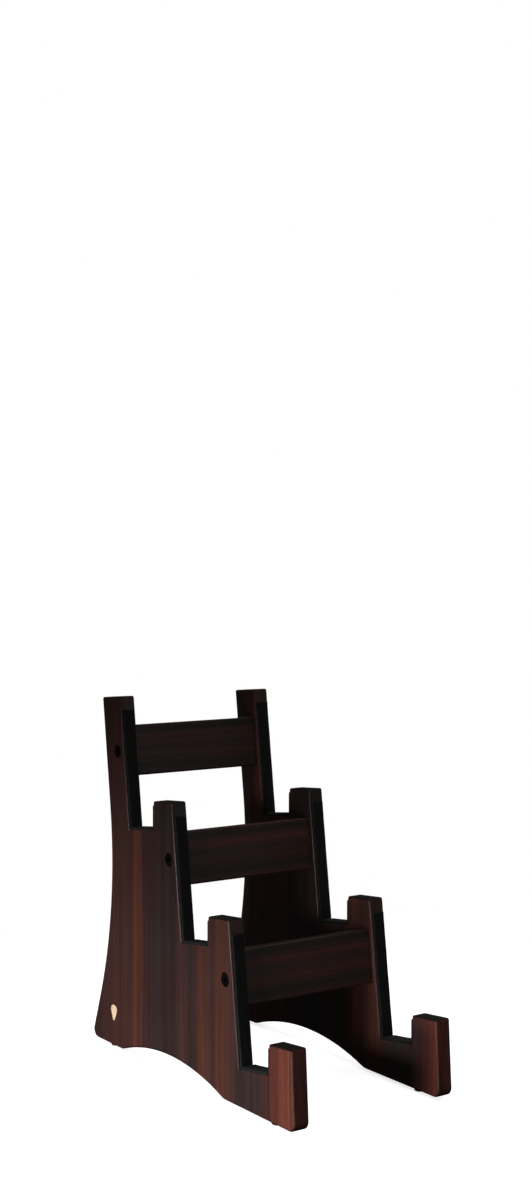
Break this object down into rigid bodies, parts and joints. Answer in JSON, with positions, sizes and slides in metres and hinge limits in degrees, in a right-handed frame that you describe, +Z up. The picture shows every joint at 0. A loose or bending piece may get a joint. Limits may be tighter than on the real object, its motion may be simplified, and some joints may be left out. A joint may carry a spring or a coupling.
{
  "type": "guitar rack",
  "caption": "Stepped wooden floor rack: two sawtooth side panels bolted to cross rails, with padded seats that hold guitars upright one behind another.",
  "frame": {"origin": "on the floor, midway across and midway front to back of the rack's box", "axes": "+X across the rack, from the left panel to the right one as seen from the front; +Y from the front lips to the back; +Z up"},
  "size_m": [0.209, 0.4198, 0.4198],
  "materials": {
    "panel_wood": "dark reddish brown striped rosewood look, satin lacquer",
    "rail_wood": "same stained wood as the panels, grain along the rail, satin lacquer",
    "pad_foam": "matt near-black closed-cell foam strip",
    "foot_rubber": "matt black rubber",
    "screw_zinc": "bright zinc plated",
    "bolt_black_zinc": "black zinc plated, satin",
    "nut_zinc": "zinc plated",
    "dowel_beech": "plain beech, hidden in the joints",
    "inlay_cream": "cream plastic, flush with the wood"
  },
  "bodies": {
    "root": {"left_side_panel": "panel_wood", "right_side_panel": "panel_wood", "front_cross_rail": "rail_wood", "middle_cross_rail": "rail_wood", "rear_cross_rail": "rail_wood", "front_seat_pad_left": "pad_foam", "front_seat_pad_right": "pad_foam", "front_back_pad_left": "pad_foam", "front_back_pad_right": "pad_foam", "front_lip_pad_left": "pad_foam", "front_lip_pad_right": "pad_foam", "middle_seat_pad_left": "pad_foam", "middle_seat_pad_right": "pad_foam", "middle_back_pad_left": "pad_foam", "middle_back_pad_right": "pad_foam", "middle_lip_pad_left": "pad_foam", "middle_lip_pad_right": "pad_foam", "rear_seat_pad_left": "pad_foam", "rear_seat_pad_right": "pad_foam", "rear_back_pad_left": "pad_foam", "rear_back_pad_right": "pad_foam", "rear_lip_pad_left": "pad_foam", "rear_lip_pad_right": "pad_foam", "front_foot_left": "foot_rubber", "front_foot_right": "foot_rubber", "rear_foot_left": "foot_rubber", "rear_foot_right": "foot_rubber", "foot_screws": "screw_zinc", "connector_bolts": "bolt_black_zinc", "barrel_nuts": "nut_zinc", "wooden_dowels": "dowel_beech", "plectrum_inlay": "inlay_cream"}
  },
  "joints": []
}
